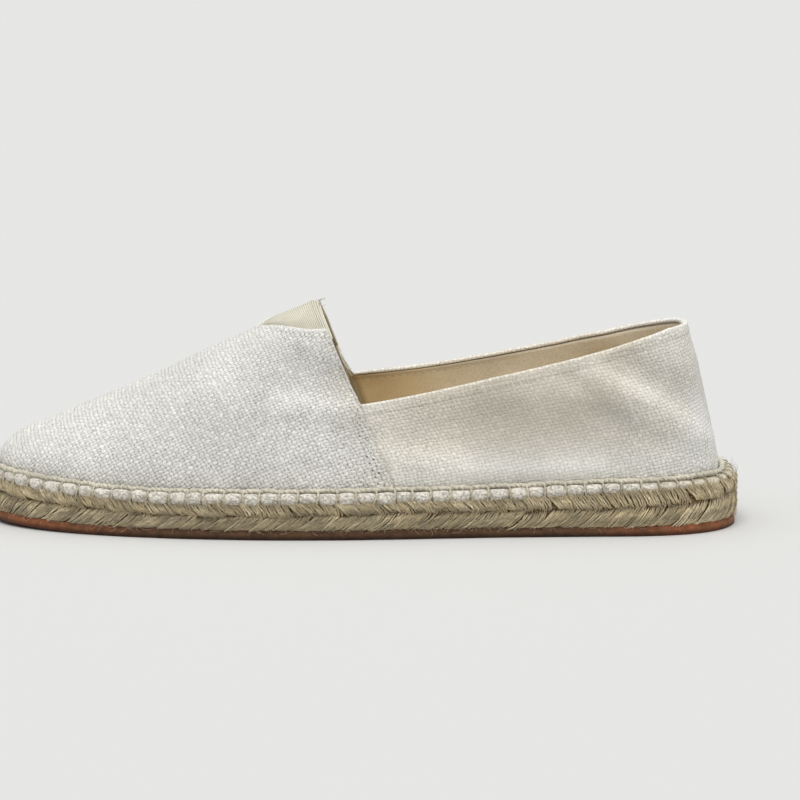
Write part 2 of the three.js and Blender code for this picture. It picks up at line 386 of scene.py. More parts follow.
def flatten(points, start, zipped=None, rounds=500):
    """Lays a grid of cloth flat with its own lengths: the weave's coordinates, in mm."""
    flat = start.astype(float).copy()
    pairs = [
        (np.s_[1:, :], np.s_[:-1, :]),
        (np.s_[:, 1:], np.s_[:, :-1]),
        (np.s_[1:, 1:], np.s_[:-1, :-1]),
        (np.s_[1:, :-1], np.s_[:-1, 1:]),
    ]
    goals = [np.linalg.norm(points[a] - points[b], axis=-1) for a, b in pairs]
    for pass_number in range(rounds):
        move = np.zeros_like(flat)
        for (a, b), goal in zip(pairs, goals):
            apart = flat[a] - flat[b]
            length = np.maximum(np.linalg.norm(apart, axis=-1), 1e-6)
            push = apart * ((length - goal) / length)[..., None] * 0.5
            move[a] -= push
            move[b] += push
        flat += move * 0.24
        if pass_number % 4 == 0:
            flat = start + smoothed(flat - start)
        if zipped is not None:
            middle = (flat[:, -1] + flat[::-1, -1]) / 2
            flat[zipped, -1] = middle[zipped]
    return flat


def grid_faces(columns, rows):
    """Quads between the columns and rows of a grid."""
    i, j = np.meshgrid(np.arange(columns - 1), np.arange(rows - 1), indexing="ij")
    a = i * rows + j
    return np.stack([a, a + rows, a + rows + 1, a + 1], -1).reshape(-1, 4)


def ring_faces(count, size, closed=False):
    """Quads between rings of points; closed joins the last ring to the first."""
    i, k = np.meshgrid(np.arange(count if closed else count - 1), np.arange(size), indexing="ij")
    a, b = i * size + k, i * size + (k + 1) % size
    onward = ((i + 1) % count - i) * size
    return np.stack([a, a + onward, b + onward, b], -1).reshape(-1, 4)


# ---- Meshes ----

def new_object(name, points, faces, material, attributes=None):
    """A smooth mesh in metres that rides on the shoe; attributes hold up to three numbers a point."""
    points = np.asarray(points, float).reshape(-1, 3)
    mesh = bpy.data.meshes.new(name)
    mesh.from_pydata((points * MM).tolist(), [], [tuple(f) for f in faces])
    for key, values in (attributes or {}).items():
        values = np.asarray(values, np.float32).reshape(len(points), -1)
        vectors = np.zeros((len(points), 3), np.float32)
        vectors[:, :values.shape[1]] = values
        mesh.attributes.new(key, "FLOAT_VECTOR", "POINT").data.foreach_set("vector", vectors.ravel())
    mesh.update()
    mesh.polygons.foreach_set("use_smooth", [True] * len(mesh.polygons))
    made = bpy.data.objects.new(name, mesh)
    bpy.context.scene.collection.objects.link(made)
    mesh.materials.append(material)
    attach(made, "root")
    return made


def weld(obj):
    """Joins points that lie on each other."""
    shape = bmesh.new()
    shape.from_mesh(obj.data)
    bmesh.ops.remove_doubles(shape, verts=shape.verts, dist=1e-5)
    bmesh.ops.dissolve_degenerate(shape, edges=shape.edges, dist=1e-7)
    shape.to_mesh(obj.data)
    shape.free()


def thicken(obj, thickness, rounding=0.0):
    """Gives a sheet its thickness, inwards, with rounded rims."""
    solid = obj.modifiers.new("thickness", "SOLIDIFY")
    solid.thickness = thickness * MM
    solid.offset = -1
    solid.use_even_offset = False
    if rounding:
        bevel = obj.modifiers.new("rounding", "BEVEL")
        bevel.width = rounding * MM
        bevel.segments = 2
        bevel.limit_method = "ANGLE"
        bevel.angle_limit = math.radians(60)


def tubes(paths, radii, sides):
    """Closed tubes along many paths of equal step count.

    Returns points, faces, and for each point how far it lies round the tube and along it.
    """
    paths = np.asarray(paths, float)
    count, length, _ = paths.shape
    tangent = unit(np.gradient(paths, axis=1))
    steep = np.abs(tangent[..., 2]).mean(1) > 0.6
    helper = np.where(steep[:, None, None], [0.4, 0.9, 0.0], [0.0, 0.0, 1.0])
    side = unit(np.cross(tangent, helper))
    up = np.cross(side, tangent)
    angle = np.arange(sides)[:, None] / sides * 2 * np.pi
    radii = np.broadcast_to(radii, (count, length))[..., None, None]
    rings = paths[:, :, None] + radii * (side[:, :, None] * np.cos(angle) + up[:, :, None] * np.sin(angle))
    starts = np.arange(count)[:, None] * length * sides
    walls = (starts[:, None] + ring_faces(length, sides)[:, [0, 3, 2, 1]]).reshape(-1, 4)
    first = starts + np.arange(sides)[::-1]
    last = starts + (length - 1) * sides + np.arange(sides)
    faces = walls.tolist() + first.tolist() + last.tolist()
    around = np.broadcast_to(np.arange(sides) / sides, rings.shape[:3])
    along = np.broadcast_to(steps(paths, 1)[..., None], around.shape)
    return rings.reshape(-1, 3), faces, np.stack([around, along], -1).reshape(-1, 2)


def yarns(name, paths, radii, sides, material, chances):
    """Tubes whose weave attribute also holds a random number for each yarn."""
    points, faces, place = tubes(paths, radii, sides)
    chance = np.repeat(chances, len(place) // len(chances))[:, None]
    return new_object(name, points, faces, material, {"weave": np.concatenate([place, chance], 1)})


def sweep(path, across, up, profile):
    """A closed profile carried along a path. across and up are the profile's axes at each point."""
    profile = np.asarray(profile, float)
    rings = path[:, None] + across[:, None] * profile[..., 0:1] + up[:, None] * profile[..., 1:2]
    count, size = rings.shape[:2]
    walls = ring_faces(count, size)[:, [0, 3, 2, 1]]
    ends = [list(range(size))[::-1], list(range((count - 1) * size, count * size))]
    return rings, walls.tolist() + ends


# ---- Materials ----

def connect(tree, socket, value):
    """Links a value or a socket to a socket, or sets a plain number or colour on it."""
    source = getattr(value, "socket", value)
    if isinstance(source, bpy.types.NodeSocket):
        tree.links.new(source, socket)
    else:
        socket.default_value = source


class Value:
    """A number in a node tree. Arithmetic with it adds nodes."""

    def __init__(self, tree, socket):
        self.tree, self.socket = tree, socket

    def apply(self, operation, *inputs):
        made = self.tree.nodes.new("ShaderNodeMath")
        made.operation = operation
        for socket, value in zip(made.inputs, inputs):
            connect(self.tree, socket, value)
        return Value(self.tree, made.outputs[0])

    def __add__(self, other):
        return self.apply("ADD", self, other)

    def __sub__(self, other):
        return self.apply("SUBTRACT", self, other)

    def __rsub__(self, other):
        return self.apply("SUBTRACT", other, self)

    def __mul__(self, other):
        return self.apply("MULTIPLY", self, other)

    def __truediv__(self, other):
        return self.apply("DIVIDE", self, other)

    def __pow__(self, other):
        return self.apply("POWER", self, other)

    def __abs__(self):
        return self.apply("ABSOLUTE", self)

    def sine(self):
        """The sine of half a turn for each 1."""
        return self.apply("SINE", self * math.pi)

    def wave(self):
        """0 at every whole number and 1 halfway between them."""
        return abs(self.sine())

    def floor(self):
        return self.apply("FLOOR", self)

    def above(self, level):
        """1 where it is more than the level, and 0 elsewhere."""
        return self.apply("GREATER_THAN", self, level)

    def at_least(self, other):
        return self.apply("MAXIMUM", self, other)

    def from_middle(self, length):
        """How far along its own length each place is, from -0.5 to 0.5."""
        return self.apply("FRACT", self / length) - 0.5

    def ramp(self, low, high, to_low=0.0, to_high=1.0):
        """A smooth step from one value to another between low and high."""
        made = self.tree.nodes.new("ShaderNodeMapRange")
        made.interpolation_type = "SMOOTHSTEP"
        for socket, value in zip(made.inputs, (self, low, high, to_low, to_high)):
            connect(self.tree, socket, value)
        return Value(self.tree, made.outputs[0])


class Shader:
    """A short way to write a node material. spot is the place on the shoe in mm, and x its first part."""

    def __init__(self, name, roughness, sheen=0.0, specular=0.25):
        self.material = bpy.data.materials.new(name)
        self.material.use_nodes = True
        self.tree = self.material.node_tree
        self.surface = next(n for n in self.tree.nodes if n.type == "BSDF_PRINCIPLED")
        self.surface.inputs["Roughness"].default_value = roughness
        self.surface.inputs["Sheen Weight"].default_value = sheen
        self.surface.inputs["Sheen Roughness"].default_value = 0.6
        self.surface.inputs["Specular IOR Level"].default_value = specular
        place = self.node("ShaderNodeTexCoord", {}).outputs["Object"]
        self.spot = self.node("ShaderNodeVectorMath", {0: place, 3: 1 / MM}, operation="SCALE").outputs[0]
        self.x = self.parts(self.spot)[0]

    def node(self, kind, inputs, **settings):
        made = self.tree.nodes.new(kind)
        for key, value in settings.items():
            setattr(made, key, value)
        for key, value in inputs.items():
            connect(self.tree, made.inputs[key], value)
        return made

    def number(self, kind, inputs, **settings):
        return Value(self.tree, self.node(kind, inputs, **settings).outputs[0])

    def parts(self, vector):
        outputs = self.node("ShaderNodeSeparateXYZ", {0: vector}).outputs
        return [Value(self.tree, socket) for socket in outputs]

    def attribute(self, name):
        """The three parts of a vector attribute."""
        return self.parts(self.node("ShaderNodeAttribute", {}, attribute_name=name).outputs["Vector"])

    def vector(self, x, y, z=0.0):
        return self.node("ShaderNodeCombineXYZ", {0: x, 1: y, 2: z}).outputs[0]

    def noise(self, scale, detail=2.0, roughness=0.5, at=None):
        """Noise with this many blotches a millimetre, over the shoe or at a vector."""
        place = self.spot if at is None else at
        inputs = {"Vector": place, "Scale": scale, "Detail": detail, "Roughness": roughness}
        return self.number("ShaderNodeTexNoise", inputs)

    def dice(self, x, y=0.0):
        """A random number that holds for a whole cell."""
        return self.number("ShaderNodeTexWhiteNoise", {"Vector": self.vector(x, y)})

    def blend(self, kind, factor, a, b):
        made = self.node("ShaderNodeMix", {}, data_type="RGBA", blend_type=kind)
        for place, value in ((0, factor), (6, a), (7, b)):
            connect(self.tree, made.inputs[place], value)
        return made.outputs[2]

    def mix(self, factor, a, b):
        return self.blend("MIX", factor, a, b)

    def times(self, colour, factor):
        """The colour made lighter or darker by a number near 1."""
        grey = self.node("ShaderNodeCombineColor", {0: factor, 1: factor, 2: factor}).outputs[0]
        return self.blend("MULTIPLY", 1.0, colour, grey)

    def shade(self, colour, value, low, high, at_low, at_high):
        """The colour times a smooth step between at_low and at_high."""
        return self.times(colour, value.ramp(low, high, at_low, at_high))

    def finish(self, colour, height=None, millimetres=0.0, strength=0.0):
        """Gives the surface its colour and a bump of this many millimetres."""
        connect(self.tree, self.surface.inputs["Base Color"], colour)
        if height is not None:
            inputs = {"Height": height, "Distance": millimetres * MM, "Strength": strength}
            bump = self.node("ShaderNodeBump", inputs).outputs[0]
            connect(self.tree, self.surface.inputs["Normal"], bump)
        return self.material


def rgb(red, green, blue):
    """An sRGB colour, 0 to 255, as linear numbers."""
    def linear(v):
        v /= 255
        return v / 12.92 if v <= 0.04045 else ((v + 0.055) / 1.055) ** 2.4
    return (linear(red), linear(green), linear(blue), 1.0)


THREAD_PITCH = {"warp": 1.54, "weft": 1.24}
RIB = 0.8  # pitch of the elastic's ribs
NEEDLE_PITCH = 2.7  # between the holes beside the side seam
NEEDLE_ROWS = (3.0, 5.0)  # distance from the seam
EDGE_STITCH = {"pitch": 2.9, "canvas": 3.8, "lining": 2.4}  # distance from the top edge on each cloth


def plain_weave(s, u, v, uneven):
    """A plain weave of warp (threads spaced along u) and weft (spaced along v).

    Returns the height, 0 to 1, how deep each hole is, the slub of the upper thread,
    a random number that mixes thread and crossing, and 1 where the warp is on top.
    """
    def threads(distance, pitch, at):
        """Counts threads, which wander a little; whole numbers lie between two of them."""
        drift = (s.noise(0.3, 3.0, at=at) - 0.5) * uneven
        sway = (s.noise(0.85, at=at) - 0.5) * 0.9
        return distance / pitch + (drift + sway)

    def bulge(thread, slub, crossing):
        return thread ** slub.ramp(0.3, 0.7, 1.1, 0.4) * crossing.ramp(-0.9, 0.9)

    a = threads(u, THREAD_PITCH["warp"], s.vector(u, v))
    b = threads(v, THREAD_PITCH["weft"], s.vector(u + 71.3, v))
    column, row = a.floor(), b.floor()
    sine_a, sine_b = a.sine(), b.sine()
    size_a, size_b = abs(sine_a), abs(sine_b)
    warp_up = (sine_a * sine_b).above(0.0)
    weft_up = 1.0 - warp_up
    slub_a = s.noise(1.6, at=s.vector(column * 3.1, v * 0.12))
    slub_b = s.noise(1.6, at=s.vector(u * 0.12, row * 3.7))
    height = bulge(size_a, slub_a, size_b) * warp_up + bulge(size_b, slub_b, size_a) * weft_up
    hole = 1.0 - (size_a + size_b).ramp(0.2, 0.85)
    slub = slub_a * warp_up + slub_b * weft_up
    thread = s.dice(column) * warp_up + s.dice(0.5, row) * weft_up
    chance = (thread + s.dice(column, row)) * 0.5
    return height, hole, slub, chance, warp_up


def canvas_material(name, depth, faded=0.0, rear=1.0):
    """Coarse slubby canvas; the attribute edges holds distances to the top, the side seam and the foot.

    depth is the weave's contrast. faded evens it out over the quarter, and rear darkens the heel.
    """
    s = Shader(name, roughness=0.92, sheen=0.15, specular=0.15)
    u, v, _ = s.attribute("weave")
    top, seam, from_foot = s.attribute("edges")
    height, hole, slub, chance, warp_up = plain_weave(s, u, v, 1.4)
    grain = s.noise(2.4, 3.0, 0.6)
    # The canvas is warmer and a little darker over the middle of the quarter, away from the foot: painted
    # shade of that hollow.
    away = abs(s.x + 56.0) + s.noise(0.03).ramp(0.3, 0.7, -14.0, 14.0)
    neutral = away.ramp(20.0, 80.0).at_least(from_foot.ramp(5.0, 22.0, 0.8, 0.0))
    # dark is the colour of the painted shade in the weave's holes, the needle holes and the stitch line.
    dark = s.mix(neutral, rgb(136, 122, 98), rgb(122, 116, 104))
    base = s.mix(neutral, rgb(240, 232, 216), rgb(250, 248, 242))
    base = s.shade(base, s.noise(0.035, 3.0), 0.3, 0.7, 0.94, 1.02)
    # Painted shade in the creases' troughs and painted light on their ridges, read from the crease height.
    base = s.shade(base, s.attribute("crease")[0], -2.6, 1.6, 0.8, 1.07)
    base = s.shade(base, s.x, -132.0, 30.0, rear, 1.0)
    colour = s.shade(base, slub, 0.25, 0.75, 1 - 0.07 * depth, 1.04)
    colour = s.shade(colour, chance, 0.1, 0.9, 1 - 0.1 * depth, 1.04)
    colour = s.shade(colour, grain, 0.3, 0.7, 1 - 0.08 * depth, 1.06)
    # Painted shade in the weave's low places between the threads.
    colour = s.shade(colour, height, 0.1, 0.85, 1 - 0.24 * depth, 1.05)
    colour = s.shade(colour, warp_up, 0.0, 1.0, 1.03, 1 - 0.08 * depth)
    # The holes between threads are painted in the dark colour: painted shade, in patches.
    patchy = s.noise(0.6).ramp(0.3, 0.65, 0.15 * depth, 0.85 * depth)
    colour = s.mix(hole * patchy, colour, dark)
    if faded:
        colour = s.mix(abs(s.x + 66.0).ramp(8.0, 44.0, faded, 0.0), colour, s.times(base, 0.9))
    for row in NEEDLE_ROWS:
        down = (from_foot + row * 0.3 * NEEDLE_PITCH).from_middle(NEEDLE_PITCH) * NEEDLE_PITCH
        ahead = seam - row
        distance = (down * down + ahead * ahead) ** 0.5
        # Needle holes: painted shade in each pit, and a dent in the bump.
        needle = (1.0 - distance.ramp(0.15, 0.55)) * s.noise(0.45).ramp(0.35, 0.55, 0.4, 1.0)
        colour = s.mix(needle, colour, s.times(dark, 0.75))
        height = height - needle
    # The sunk stitch line under the top edge, darkest at its needle holes: painted shade.
    line = 1.0 - abs(top - EDGE_STITCH["canvas"]).ramp(0.15, 0.6)
    dash = abs(u.from_middle(EDGE_STITCH["pitch"])).ramp(0.25, 0.4)
    sewn = line * dash.ramp(0.0, 1.0, 0.15, 0.6)
    colour = s.mix(sewn * 0.3, colour, dark)
    return s.finish(colour, height - sewn * 0.5 + (slub + grain) * 0.4, 0.32 * depth, 0.85)


def hem_material(name):
    """Puckered, knotty cloth: the third part of weave is 1 on a puff and 0 in its groove."""
    s = Shader(name, roughness=0.92, sheen=0.15, specular=0.15)
    u, v, full = s.attribute("weave")
    warped = s.vector(u + s.noise(0.7) * 1.6, v)
    knots = {"Vector": warped, "Scale": 1.15, "Randomness": 0.75}
    height = 1.0 - s.number("ShaderNodeTexVoronoi", knots, feature="SMOOTH_F1").ramp(0.15, 0.75)
    fine = s.noise(2.2, 3.0, 0.6)
    # Darker colour in the grooves between the puffs: painted shade.
    colour = s.mix(full.ramp(0.25, 0.8), rgb(186, 177, 156), rgb(240, 234, 221))
    # Darker between the knots: painted shade.
    colour = s.shade(colour, height, 0.0, 0.8, 0.62, 1.06)
    colour = s.shade(colour, fine, 0.3, 0.7, 0.9, 1.05)
    worn = 1.0 - s.x.ramp(-136.0, -100.0)
    colour = s.mix(worn * 0.55, colour, rgb(206, 192, 160))
    return s.finish(colour, height + fine * 0.4, 0.6, 0.9)


def twill_material(name, light, dark, tint):
    """Twill with a stitched strip under the collar, darkened at the front as painted shade under the
    turned-in canvas, and warmed at its front by tint.

    The third part of weave is the distance to the top.
    """
    s = Shader(name, roughness=0.9, sheen=0.1, specular=0.15)
    u, v, top = s.attribute("weave")
    height = (u / 0.9 + v / 0.55).wave() + (u / 0.45).wave() * 0.35
    colour = s.mix(s.noise(0.04, 3.0).ramp(0.3, 0.7), light, dark)
    # Painted shade in the twill's grooves.
    colour = s.shade(colour, height, 0.1, 1.1, 0.82, 1.06)
    colour = s.shade(colour, s.noise(1.2), 0.3, 0.7, 0.93, 1.06)
    colour = s.mix(s.x.ramp(-45.0, -10.0) * tint, colour, rgb(226, 200, 150))
    front = s.x.ramp(-75.0, -30.0)
    sewn = EDGE_STITCH["lining"]
    # Above the lining's stitch line, at the front, the twill is darkened: painted shade under the turned-in
    # canvas.
    fold_shade = (1.0 - top.ramp(sewn, sewn + 0.4)) * front
    colour = s.mix(fold_shade * 0.35, colour, rgb(150, 124, 92))
    line = 1.0 - abs(top - sewn).ramp(0.15, 0.4)
    dash = abs(u.from_middle(EDGE_STITCH["pitch"])).ramp(0.25, 0.4, 1.0, 0.0)
    stitch = line * dash * front
    colour = s.mix(stitch * 0.55, colour, rgb(236, 224, 198))
    return s.finish(colour, height + stitch, 0.12, 0.7)


def elastic_material(name):
    """Ribbed elastic. weave holds the distances from the throat's edge and across, and the share across."""
    s = Shader(name, roughness=0.8, sheen=0.1, specular=0.2)
    from_edge, v, across = s.attribute("weave")
    ribs, knit = (from_edge / RIB).wave(), (v / RIB).wave()
    groove = 1.0 - ribs.ramp(0.0, 0.65)
    strong = 1.0 - from_edge.ramp(2.6, 3.2)
    colour = s.mix(s.noise(0.08, 3.0).ramp(0.3, 0.7), rgb(226, 222, 205), rgb(214, 209, 190))
    # Painted shade in the grooves between the ribs, deeper in the first few by the throat's edge.
    colour = s.shade(colour, groove, 0.0, 1.0, 1.04, 0.66)
    colour = s.mix(strong * groove * 0.5, colour, rgb(120, 110, 88))
    # Painted shadow in the gap between the elastic and the far canvas edge, broken up by noise.
    far_gap_shadow = across.ramp(-0.99, -0.9, 1.0, 0.0) * from_edge.ramp(4.0, 9.0)
    colour = s.mix(far_gap_shadow * s.noise(0.5).ramp(0.3, 0.6, 0.5, 1.0), colour, rgb(64, 56, 42))
    return s.finish(colour, ribs + knit * 0.3, 0.15, 0.6)


def yarn_material(name, light, dark, plies, twist, deep, rough=1.0):
    """Twisted yarn: weave holds the share round the yarn, the length along it and a random number.

    twist is the length of a turn, deep the shade between plies, and rough the fibres' contrast.
    """
    s = Shader(name, roughness=0.85, sheen=0.2, specular=0.2)
    around, along, chance = s.attribute("weave")
    spiral = around * plies + along / twist
    strand = spiral.wave()
    fibre = s.noise(1.5, 3.0, at=s.vector(spiral * 6.0, along * 0.9, chance * 97.0))
    colour = s.mix(chance, light, dark)
    colour = s.shade(colour, fibre, 0.3, 0.7, 1 - 0.28 * rough, 1 + 0.2 * rough)
    colour = s.shade(colour, strand, 0.0, 0.7, deep, 1.05)
    colour = s.shade(colour, s.noise(0.12), 0.3, 0.7, 0.88, 1.1)
    return s.finish(colour, strand + fibre * 0.8, 0.25 * rough, 0.8)


def rubber_material(name):
    """Brown rubber, mottled and flecked as if worn, with painted shade towards its underside; the attribute
    height is the distance above its underside.
    """
    s = Shader(name, roughness=0.62, specular=0.35)
    mottle = s.noise(0.35, 4.0, 0.6)
    # Lighter and redder towards the toe and heel ends: painted light there and painted shade along the
    # middle.
    colour = s.mix(abs(s.x).ramp(70.0, 130.0), rgb(98, 68, 46), rgb(156, 94, 60))
    colour = s.shade(colour, mottle, 0.3, 0.7, 0.72, 1.25)
    colour = s.mix(s.noise(0.05).ramp(0.5, 0.62, 0.0, 0.4), colour, rgb(112, 84, 48))
    colour = s.mix(s.noise(1.4, 3.0).ramp(0.62, 0.78, 0.0, 0.35), colour, rgb(160, 136, 104))
    # Darker towards the underside: painted shade on the rim that faces down.
    colour = s.shade(colour, s.attribute("height")[0], 0.4, 2.4, 0.4, 1.0)
    return s.finish(colour, s.noise(1.1, 4.0, 0.65) + mottle, 0.35, 0.7)


def core_material(name):
    """The sole's filling, seen between the yarns; its dark brown, well below the yarns' own colour, is
    painted shade in the gaps.
    """
    s = Shader(name, roughness=0.95, specular=0.1)
    fibre = s.noise(0.9, 3.0)
    return s.finish(s.shade(rgb(128, 104, 68), fibre, 0.3, 0.7, 0.7, 1.2), fibre, 0.4, 0.8)


CANVAS = canvas_material("canvas_vamp", 1.0)
CANVAS_REAR = canvas_material("canvas_quarter", 0.68, faded=0.45, rear=0.885)
CANVAS_FOLD = canvas_material("canvas_fold", 0.55)
HEM_CLOTH = hem_material("hem_cloth")
TWILL = twill_material("lining_twill", rgb(240, 227, 202), rgb(224, 209, 180), 0.7)
TAPE = twill_material("seam_tape", rgb(184, 174, 146), rgb(166, 156, 128), 0.0)
ELASTIC = elastic_material("ribbed_elastic")
JUTE = yarn_material("jute_yarn", rgb(246, 229, 190), rgb(198, 179, 138), 2.0, 7.5, 0.66, rough=1.5)
FUZZ = yarn_material("jute_fibre", rgb(234, 218, 184), rgb(200, 182, 144), 1.0, 4.0, 0.9)
THREAD = yarn_material("hem_thread", rgb(218, 210, 192), rgb(200, 190, 168), 2.0, 1.6, 0.84)
CORD = yarn_material("hem_cord", rgb(222, 216, 198), rgb(206, 198, 177), 2.0, 1.8, 0.92)
RUBBER = rubber_material("brown_rubber")
CORE = core_material("jute_core")


# ---- Canvas upper ----

ROWS = 64
ROUND = 0.79  # a quarter circle's length against the sum of its two radii
WEAVE_SHEAR = 0.2  # the vamp's cross threads lean back as they run down
LIFT = 0.35  # how far the vamp's overlap stands proud at the side seam
OVERLAP = 6.0
CLOTH = 0.9
QUARTER_TILT = math.radians(-8)  # of the quarter's threads
STITCH_PITCH = 7.0  # between the hem's blanket stitches
FAR = 99.0  # a distance past every effect
ROW_SHARES = 1 - (1 - np.linspace(0, 1, ROWS)) ** 1.25  # the canvas's rows, closer at its foot


def foot_puckers(from_foot, run):
    """Small gathers where the canvas is stitched down."""
    return 0.28 * np.cos(run / STITCH_PITCH * 2 * np.pi) * np.exp(-(from_foot / 2.6) ** 2)


def both_sides(turns, v, side_point):
    """Grid columns from the lateral rear round the toe (or heel) to the medial rear."""
    lateral = side_point("lateral", turns["lateral"], v)
    medial = side_point("medial", turns["medial"], v)
    return np.concatenate([lateral, medial[::-1][1:]], 0)


def side_sign(columns):
    """1 for the columns on the lateral side and -1 for the others."""
    return np.where(np.arange(columns) < (columns + 1) // 2, 1.0, -1.0)[:, None]


def creased(points):
    """Height of the creases over a grid, fading towards the middle line."""
    on_lateral = side_sign(len(points)) > 0
    crease = np.where(on_lateral, crease_height("lateral", points), crease_height("medial", points))
    return crease * (1 - np.exp(-((points[..., 1] - MID_Y - RIDGE_Y) / 14.0) ** 2))


def relief(points, base):
    """Height along the normal: creases, unevenness and what else is given."""
    uneven = 0.3 * wobble(points, 46.0, SEED) + 0.12 * wobble(points, 15.0, SEED + 1)
    return creased(points) + uneven - 0.15 + base


def vamp():
    """The front of the upper, from the side seams round the toe, with its lining."""
    counts = (12, 30, 92)  # columns beside the throat, beside the notch and round the toe

    def columns(side):
        turns = np.linspace(CORNER_TURN[side], APEX_TURN, 600)
        edge = form_point(side, turns, rise_limit(side, turns))
        kink = turns[np.argmax(in_notch(edge + [0.3, -AWAY[side], 0]))]
        return np.concatenate([
            np.linspace(CORNER_TURN[side], kink, counts[0], endpoint=False),
            np.linspace(kink, APEX_TURN, counts[1], endpoint=False),
            np.linspace(APEX_TURN, 1, counts[2]),
        ])

    def side_point(side, tops, v):
        start = CORNER_TURN[side]
        share = ((tops - start) / (1 - start))[:, None]
        seam = seam_turn(side, v)[None, :]
        turn = seam + (1 - seam) * share
        return form_point(side, turn, v[None, :] * rise_limit(side, turn))

    points = both_sides({side: columns(side) for side in AWAY}, ROW_SHARES, side_point)
    count = len(points)
    apex = counts[0] + counts[1]
    zipped = np.zeros(count, bool)
    zipped[apex:count - apex] = True
    n = -normals(points, zipped)

    from_foot = steps(points, 1)
    to_top = from_foot[:, -1:] - from_foot + np.where(zipped, FAR, 0.0)[:, None]
    run = steps(points, 0)
    seam = np.minimum(run, run[-1:] - run)
    x, side = points[..., 0], side_sign(count)

    overlap = LIFT * (1 - smoothstep(OVERLAP - 1, OVERLAP + 5, seam))
    fold = 0.3 * (1 - smoothstep(0.8, 1.6, seam)) + 0.25 * (1 - smoothstep(2.4, 3.2, to_top))
    near_apex = np.exp(-((x - 32.5) / 4.5) ** 2) * (side < 0)
    stands = 1.2 * near_apex * (1 - smoothstep(0.5, 7.0, to_top))
    height = relief(points, overlap + fold + foot_puckers(from_foot, run[:, :1])) + stands
    shaped = points + n * height[..., None]

    out_and_down = np.abs(points[..., 1] - MID_Y - RIDGE_Y) + section("ridge", x) - points[..., 2]
    guess = np.stack([x - 0.3 * points[..., 2], side * ROUND * out_and_down], -1)
    weave = flatten(points, guess, zipped)
    weave[..., 0] += WEAVE_SHEAR * (np.hypot(weave[..., 1], 20.0) - 20.0)
    faces = grid_faces(count, ROWS)[:, ::-1]
    edges = np.stack([to_top, seam, from_foot], -1)
    made = new_object("vamp", shaped, faces, CANVAS,
                      {"weave": weave, "edges": edges, "crease": creased(points)})
    weld(made)
    thicken(made, CLOTH, 0.25)
    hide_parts("upper")
    distance = np.minimum(to_top, FAR)[..., None]
    inner = new_object("vamp_lining", shaped - n * (CLOTH + 0.25), faces, TWILL,
                       {"weave": np.concatenate([weave, distance], -1)})
    weld(inner)
    thicken(inner, 0.5)
    return {"points": shaped, "normals": n, "apex": apex}


def quarter_grid(depth, forward, count, rows):
    """The rear of the upper: columns from the lateral side seam round the heel to the medial one."""
    def side_point(side, shares, v):
        seam = seam_turn(side, v)[None, :] + forward / HALF / np.pi
        turn = seam * shares[:, None]
        return form_point(side, turn, v[None, :] * rise_limit(side, turn), depth)

    shares = np.linspace(1, 0, count)
    return both_sides({side: shares for side in AWAY}, rows, side_point)


def heel_distance(run):
    """Distance along each row from the back seam."""
    return np.abs(run - run[(len(run) - 1) // 2])


def slimmer(from_back, from_foot):
    """The heel's cloth lies a little inside the form."""
    return -0.8 * (1 - smoothstep(8.0, 34.0, from_back)) * smoothstep(2.0, 12.0, from_foot)


def quarter():
    """The rear of the upper, tucked under the vamp at the side seams."""
    points = quarter_grid(0.0, OVERLAP, 110, ROW_SHARES)
    count = len(points)
    n = normals(points)
    from_foot = steps(points, 1)
    to_top = from_foot[:, -1:] - from_foot
    run = steps(points, 0)
    ahead = np.minimum(run, run[-1:] - run)  # distance from the hidden front edge
    tuck = -1.15 * (1 - smoothstep(OVERLAP - 0.8, OVERLAP + 2.2, ahead))
    from_back = heel_distance(run)
    back_seam = 0.45 * np.exp(-((from_back - 2.2) / 1.4) ** 2) - 0.5 * np.exp(-(from_back / 0.7) ** 2)
    fold = 0.2 * (1 - smoothstep(3.0, 4.2, to_top)) - 0.08 * np.exp(-((to_top - 3.8) / 0.5) ** 2)
    slim = slimmer(from_back, from_foot)
    height = relief(points, tuck + fold + back_seam + slim + foot_puckers(from_foot, run[:, :1]))
    shaped = points + n * height[..., None]

    middle = (count - 1) // 2
    flat = flatten(points, np.stack([run[middle] - run, from_foot], -1), rounds=300)
    back, up = heel_distance(flat[..., 0]), flat[..., 1]
    cos, sin = math.cos(QUARTER_TILT), math.sin(QUARTER_TILT)
    weave = np.stack([(back * cos + up * sin) * side_sign(count), up * cos - back * sin], -1)
    edges = np.stack([to_top, np.full_like(to_top, FAR), from_foot], -1)
    made = new_object("quarter", shaped, grid_faces(count, ROWS), CANVAS_REAR,
                      {"weave": weave, "edges": edges, "crease": creased(points)})
    thicken(made, CLOTH, 0.25)
    return {"points": shaped, "normals": n, "ahead": ahead}


# The canvas turned in over the wall's edge: (outwards, upwards) round the fold.
FOLD = [(-0.12, -1.6), (0.08, -0.9), (0.14, -0.2), (-0.06, 0.34), (-0.60, 0.60), (-1.25, 0.42),
        (-1.80, 0.1), (-1.92, -0.2), (-1.86, -0.5), (-1.4, -0.7), (-0.95, -0.6), (-0.5, -1.2)]
# The same with a deeper hem inside, for the throat's medial edge.
DEEP_FOLD = FOLD[:6] + [(-1.85, 0.1), (-2.05, -1.2), (-2.0, -2.6), (-1.4, -2.8), (-0.95, -1.4), (-0.5, -1.2)]


